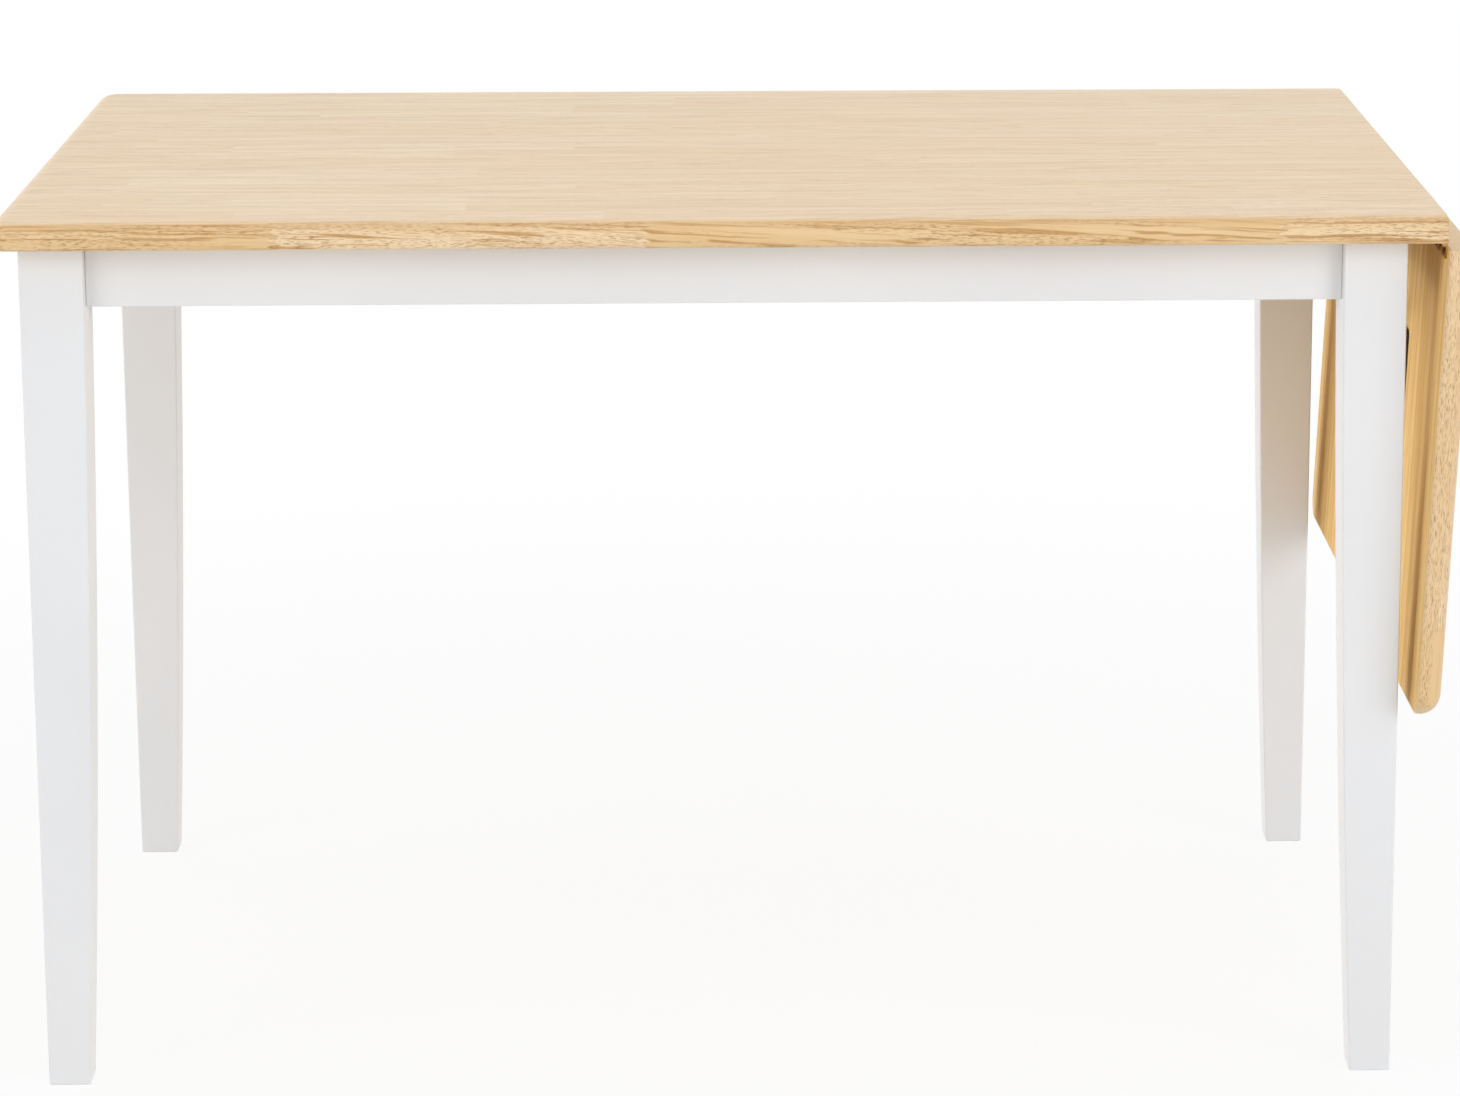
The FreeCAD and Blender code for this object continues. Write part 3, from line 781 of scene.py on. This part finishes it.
def screw_rings(seat, length, shank, head):
    """Radius and height round a pan-head screw with a cross recess, ring by ring from its tip."""
    round_steps, rings_per_turn = 24, 4
    turns = [count / round_steps for count in range(round_steps)]
    last = int(seat / SCREW_PITCH * rings_per_turn)
    levels = []
    for level in range(last + 1):
        height = seat * level / last
        taper = min(1.0, (height + SCREW_TAPER / 8) / SCREW_TAPER)
        depths = [thread_depth(height, turn, SCREW_PITCH, SCREW_THREAD_DEPTH) for turn in turns]
        levels.append([(taper * (shank - depth), height) for depth in depths])
    for radius, height in PAN_HEAD:
        levels.append([(head * radius, seat + (length - seat) * height)] * round_steps)
    for radius, cross_depth, rest_depth in CROSS_RECESS:
        depths = [cross_depth if turn * 4 % 1 == 0 else rest_depth for turn in turns]
        levels.append([(head * radius, length - SCREW_RECESS * depth) for depth in depths])
    return levels


def wood_screws(node, material):
    """Pan-head wood screws with a cross recess, each in the place of its CAD solid."""
    bm = bmesh.new()
    for corners in solids(node):
        tip, way, seat, length, shank, head = screw_measures(corners)
        stack(bm, turned_rings(bm, tip, way, screw_rings(seat, length, shank, head)))
    finished_piece(node + "_crossed", bm, [material], node)


def dress_nodes(materials):
    """Give every CAD node that still shows the material of its slot."""
    for name, node in frame["nodes"].items():
        if not node.hide_render:
            node.material_slots[0].material = materials[SLOT_OF[name]]


def dress_table():
    """All the pieces and their finishes."""
    low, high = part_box("fixed_top")
    half_width = (high.y - low.y) / 2
    paint, metal = white_paint(), zinc()
    fixed_top([wood("top_hardwood", low.z, half_width, high.x,
                    TOP_JOINTS, TOP_FIRST_TONE, TOP_EDGE_LINES),
               bare_wood("top_underside", low.z)])
    drop_leaf([wood("leaf_hardwood", low.z, half_width, high.x + LEAF_GAP,
                    LEAF_JOINTS, LEAF_FIRST_TONE, LEAF_EDGE_LINES, turn=HANG),
               bare_wood("leaf_underside", low.z, turn=HANG)])
    for name in ("front_left", "front_right", "rear_left", "rear_right"):
        leg("leg_" + name, paint)
    for name in ("front", "rear", "left", "right"):
        apron("apron_" + name, paint)
    leg_bolts(metal)
    bolt_nuts(metal)
    plate_brass = brass("dull_brass", PLATE_BRASS)
    screw_brass = brass("brown_brass", SCREW_BRASS)
    coat = black_coat()
    for node in ("hinge_top_screws", "hinge_leaf_screws"):
        wood_screws(node, screw_brass)
    for node in ("stay_leaf_screws", "stay_carrier_screws"):
        wood_screws(node, coat)
    for node in ("corner_bracket_screws", "top_angle_screws"):
        wood_screws(node, metal)
    dress_nodes({"brass": plate_brass, "black_steel": coat, "zinc_steel": metal})


# Stage, light and camera

def seen_or_mirrored(tree):
    """1 for rays that reach the eye directly, in a reflection or through glass, and 0 for the rest."""
    path = add(tree, "ShaderNodeLightPath", {}).node.outputs
    mirrored = calc(tree, "MAXIMUM", path["Is Glossy Ray"], path["Is Transmission Ray"])
    return calc(tree, "MAXIMUM", path["Is Camera Ray"], mirrored)


def floor_material():
    """Pale floor that is white to the eye but for the table's soft shadow, and clear from below."""
    shadow_share = 0.12
    shadow_reach = (0.8, 2.2)
    material, tree, shader = new_material("pale_floor")
    shader.inputs["Base Color"].default_value = FLOOR
    shader.inputs["Roughness"].default_value = 0.9
    shader.inputs["Specular IOR Level"].default_value = 0.0
    white = add(tree, "ShaderNodeEmission", {"Color": WHITE, "Strength": 1.0})
    distance = add(tree, "ShaderNodeVectorMath", {0: own_place(tree)}, output="Value", operation="LENGTH")
    whiteness = step(tree, distance, *shadow_reach, 1 - shadow_share, 1.0)
    share = calc(tree, "MULTIPLY", seen_or_mirrored(tree), whiteness)
    mixed = add(tree, "ShaderNodeMixShader", {0: share, 1: shader.outputs[0], 2: white})
    from_below = add(tree, "ShaderNodeNewGeometry", {}, output="Backfacing")
    clear = add(tree, "ShaderNodeBsdfTransparent", {})
    one_way = add(tree, "ShaderNodeMixShader", {0: from_below, 1: mixed, 2: clear})
    tree.links.new(one_way, tree.nodes["Material Output"].inputs["Surface"])
    return material


def pale_floor():
    """Wide floor, a hair below the feet."""
    half = 30.0
    gap = 0.0003
    bm = bmesh.new()
    bmesh.ops.create_grid(bm, x_segments=8, y_segments=8, size=half)
    mesh = bpy.data.meshes.new("floor")
    bm.to_mesh(mesh)
    bm.free()
    mesh.materials.append(floor_material())
    floor = bpy.data.objects.new("floor", mesh)
    floor.location.z = -gap
    bpy.context.scene.collection.objects.link(floor)


def studio_world():
    """Soft even light from all round, white where it is seen."""
    ambient = 0.50
    world = bpy.data.worlds.new("studio")
    bpy.context.scene.world = world
    world.use_nodes = True
    tree = world.node_tree
    tree.nodes.clear()
    dim = add(tree, "ShaderNodeBackground", {"Color": WHITE, "Strength": ambient})
    white = add(tree, "ShaderNodeBackground", {"Color": WHITE, "Strength": 1.0})
    mixed = add(tree, "ShaderNodeMixShader", {0: seen_or_mirrored(tree), 1: dim, 2: white})
    show(tree, "ShaderNodeOutputWorld", mixed)


def softbox(name, place, target, width, height, power):
    """Large soft lamp turned to a target, which leaves no glare on the lacquer."""
    lamp = bpy.data.lights.new(name, "AREA")
    lamp.shape = "RECTANGLE"
    lamp.size = width
    lamp.size_y = height
    lamp.energy = power
    held = bpy.data.objects.new(name, lamp)
    held.visible_glossy = False
    held.location = place
    held.rotation_euler = (Vector(target) - Vector(place)).to_track_quat("-Z", "Y").to_euler()
    bpy.context.scene.collection.objects.link(held)


def studio_lamps():
    """On each side softboxes near the camera, beside the table and behind it, and one above."""
    middle = (0.0, 0.0, 0.5)
    for side, front_power, side_power, rear_power in ((-1, 85.0, 30.0, 145.0), (1, 114.0, 38.0, 40.0)):
        softbox("front_softbox", (side * 4.1, -3.8, 2.1), middle, 3.2, 3.2, front_power)
        softbox("side_softbox", (side * 5.4, 1.1, 1.0), middle, 4.2, 1.9, side_power)
        softbox("rear_softbox", (side * 4.0, 5.0, 0.6), middle, 3.6, 1.1, rear_power)
    softbox("top_softbox", (0.0, -0.2, 3.0), (0.0, 0.0, 0.75), 2.6, 2.2, 21.0)


def photo_camera():
    """Camera at the photograph's place."""
    yaw, pitch, roll = CAMERA_YAW, CAMERA_PITCH, CAMERA_ROLL
    ahead = Vector((math.sin(yaw) * math.cos(pitch), math.cos(yaw) * math.cos(pitch), -math.sin(pitch)))
    right = Vector((math.cos(yaw), -math.sin(yaw), 0.0))
    up = right.cross(ahead)
    rolled_right = right * math.cos(roll) + up * math.sin(roll)
    rolled_up = up * math.cos(roll) - right * math.sin(roll)
    lens = bpy.data.cameras.new("photo_camera")
    lens.sensor_width = SENSOR_WIDTH
    lens.lens = FOCAL_PIXELS * SENSOR_WIDTH / IMAGE_WIDTH
    lens.shift_x = (IMAGE_WIDTH / 2 - PRINCIPAL_X) / IMAGE_WIDTH
    lens.shift_y = (PRINCIPAL_Y - IMAGE_HEIGHT / 2) / IMAGE_WIDTH
    lens.clip_start = 0.05
    lens.clip_end = 200.0
    camera = bpy.data.objects.new("photo_camera", lens)
    turn = Matrix((rolled_right, rolled_up, -ahead)).transposed().to_4x4()
    camera.matrix_world = Matrix.Translation(CAMERA_PLACE) @ turn
    bpy.context.scene.collection.objects.link(camera)
    bpy.context.scene.camera = camera


dress_table()
pale_floor()
studio_world()
studio_lamps()
photo_camera()
bpy.context.scene.view_settings.view_transform = "Standard"
